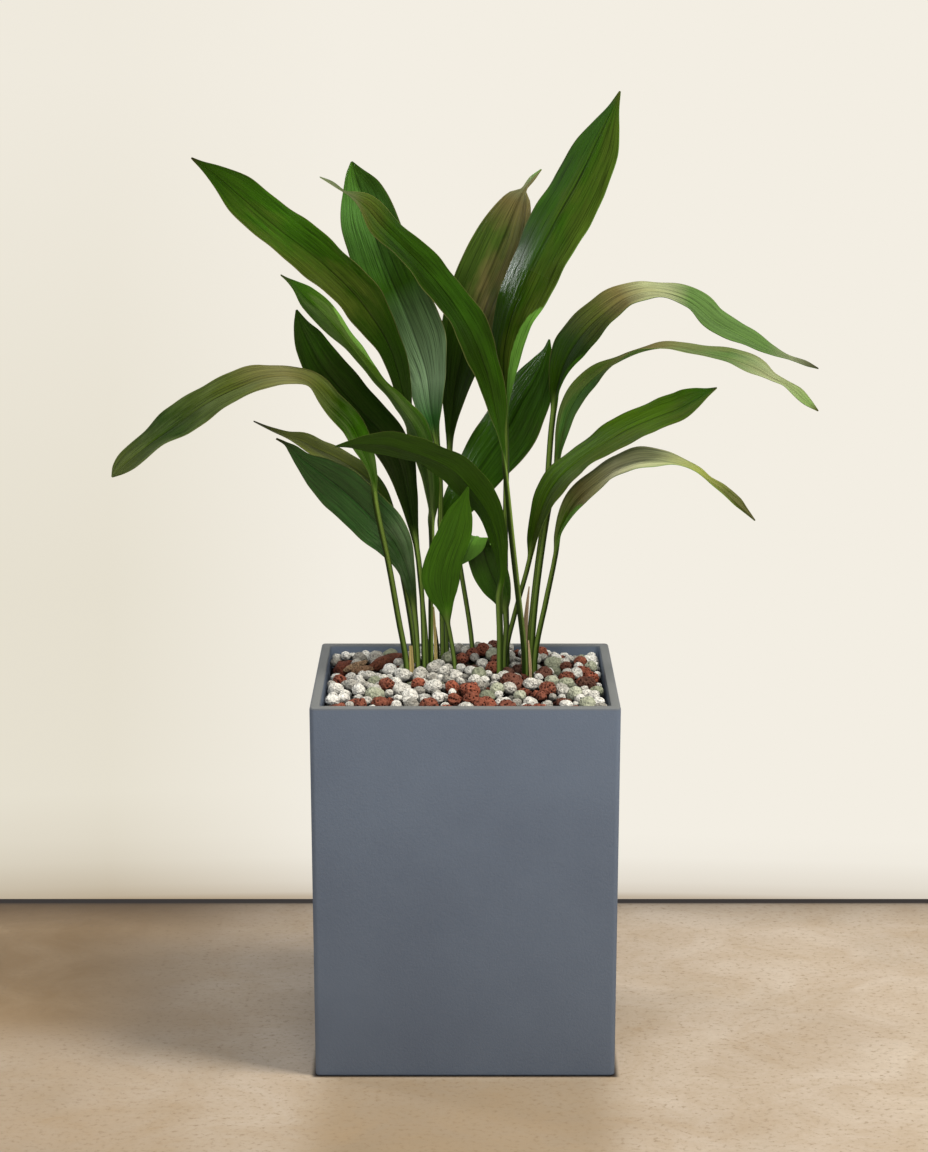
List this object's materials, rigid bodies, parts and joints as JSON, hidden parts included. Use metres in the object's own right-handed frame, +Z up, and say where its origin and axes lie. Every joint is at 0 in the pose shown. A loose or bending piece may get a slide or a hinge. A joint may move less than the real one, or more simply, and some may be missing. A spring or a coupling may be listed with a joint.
{
  "type": "potted plant",
  "caption": "Cast iron plant with long arching dark green leaves on slim stalks, growing from mineral grains in a square, slightly tapered slate-grey planter. Stands on the floor.",
  "frame": {"origin": "centre of the planter's flat underside, on the floor", "axes": "+Z is up. -Y is the planter's front, the side that the picture shows square on; +X is to the right of someone who looks at that side."},
  "size_m": [0.6991, 0.307, 0.9474],
  "materials": {
    "planter": "matte, finely mottled slate grey, like fibre clay",
    "substrate": "loose mineral grains: white and grey pumice, brick-red lava, pale green zeolite",
    "leaf": "glossy dark green with fine parallel veins",
    "leaf_olive": "glossy olive green with fine parallel veins",
    "dry_sheath": "dry papery tan",
    "shoot": "dark green, matte"
  },
  "bodies": {
    "root": {"planter": "planter", "substrate": "substrate", "leaf_high_left": "leaf", "leaf_back_left": "leaf", "leaf_crossing": "leaf", "leaf_back_centre": "leaf_olive", "leaf_tallest": "leaf", "leaf_slim_left": "leaf", "leaf_dark_left": "leaf", "leaf_droop_left": "leaf_olive", "leaf_olive_left": "leaf_olive", "leaf_glossy_left": "leaf", "leaf_front_arch": "leaf", "leaf_front_small": "leaf", "leaf_curled": "leaf", "leaf_back_right": "leaf", "leaf_upper_arch": "leaf", "leaf_middle_arch": "leaf", "leaf_lower_right": "leaf", "leaf_low_arch": "leaf_olive", "dry_stub": "dry_sheath", "dry_sheath": "dry_sheath", "young_shoot": "shoot", "pointed_sheath": "dry_sheath", "pale_sheath": "dry_sheath"}
  },
  "joints": []
}
